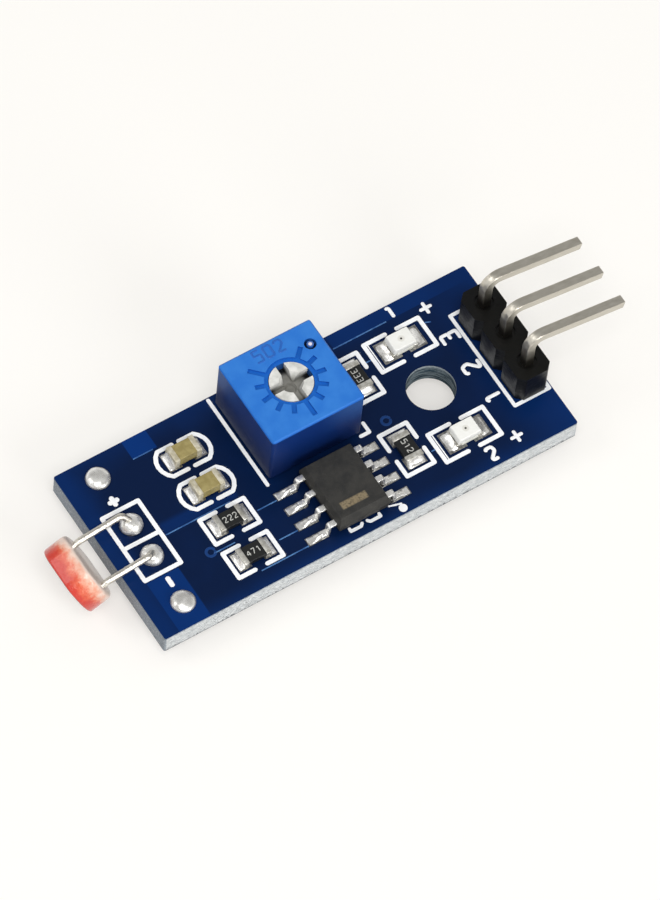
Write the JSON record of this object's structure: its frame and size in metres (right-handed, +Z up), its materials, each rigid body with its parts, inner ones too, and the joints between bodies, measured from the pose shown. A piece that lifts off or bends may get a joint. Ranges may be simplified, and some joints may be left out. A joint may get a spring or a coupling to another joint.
{
  "type": "light sensor module",
  "caption": "Light sensor circuit module: a photoresistor and a comparator on a small board, with a sensitivity trimmer, indicator lights and a pin header.",
  "frame": {"origin": "centre of the mounting hole, on the underside of the board", "axes": "+X along the board from the photoresistor to the header, +Z up out of the component side, along the mounting hole"},
  "size_m": [0.0411, 0.0137, 0.0084],
  "materials": {
    "solder_mask": "blue lacquer over glass-fibre board",
    "legend_ink": "white printed ink",
    "solder": "bright solder",
    "tinned_wire": "tinned wire",
    "sensor_ceramic": "cream ceramic",
    "sensor_film": "orange-red photoconductive film",
    "electrode": "evaporated metal",
    "clear_resin": "clear resin",
    "trimmer_blue": "moulded blue plastic",
    "rotor_grey": "moulded pale grey plastic",
    "contact_brass": "spring contact",
    "resistive_ink": "black resistive film",
    "white_ceramic": "fired ceramic",
    "potting": "dark epoxy",
    "seal_rubber": "black rubber",
    "chip_black": "moulded epoxy",
    "chip_lead": "tin-plated copper",
    "resistor_black": "black glass coat",
    "capacitor_tan": "tan ceramic",
    "cap_tin": "tin plating",
    "light_base": "white laminate",
    "light_die": "semiconductor die",
    "header_black": "moulded black plastic",
    "header_pin": "tin-plated square pin"
  },
  "bodies": {
    "root": {"circuit_board": "solder_mask", "legend_print": "legend_ink", "top_pads": "solder", "bottom_pads": "solder", "sensor_disc": "sensor_ceramic", "sensor_film": "sensor_film", "sensor_electrodes": "electrode", "sensor_coating": "clear_resin", "sensor_lead_1": "tinned_wire", "sensor_lead_2": "tinned_wire", "sensor_solder": "solder", "corner_solder": "solder", "trimmer_housing": "trimmer_blue", "trimmer_track": "resistive_ink", "trimmer_substrate": "white_ceramic", "trimmer_potting": "potting", "trimmer_seal_ring": "seal_rubber", "trimmer_solder": "solder", "comparator_body": "chip_black", "comparator_solder": "solder", "small_part_solder": "solder", "header_block": "header_black", "header_solder": "solder", "trimmer_pin_1": "tinned_wire", "header_pin_1": "header_pin", "trimmer_pin_2": "tinned_wire", "header_pin_2": "header_pin", "trimmer_pin_3": "tinned_wire", "header_pin_3": "header_pin", "comparator_lead_1": "chip_lead", "comparator_lead_2": "chip_lead", "comparator_lead_3": "chip_lead", "comparator_lead_4": "chip_lead", "comparator_lead_5": "chip_lead", "comparator_lead_6": "chip_lead", "comparator_lead_7": "chip_lead", "comparator_lead_8": "chip_lead", "resistor_1_body": "resistor_black", "resistor_1_ends": "cap_tin", "resistor_2_body": "resistor_black", "resistor_2_ends": "cap_tin", "resistor_3_body": "resistor_black", "resistor_3_ends": "cap_tin", "resistor_4_body": "resistor_black", "resistor_4_ends": "cap_tin", "capacitor_1_body": "capacitor_tan", "capacitor_1_ends": "cap_tin", "light_1_base": "light_base", "light_1_ends": "cap_tin", "light_1_die": "light_die", "light_1_lens": "clear_resin", "capacitor_2_body": "capacitor_tan", "capacitor_2_ends": "cap_tin", "light_2_base": "light_base", "light_2_ends": "cap_tin", "light_2_die": "light_die", "light_2_lens": "clear_resin"},
    "rotor": {"trimmer_rotor": "rotor_grey", "trimmer_wiper": "contact_brass"}
  },
  "joints": [
    {"name": "trimmer_turn", "type": "hinge", "parent": "root", "child": "rotor", "pos_m": [-0.00924, 0.00276, 0.005], "axis": [0, 0, 1], "range_deg": [-135, 135]}
  ]
}
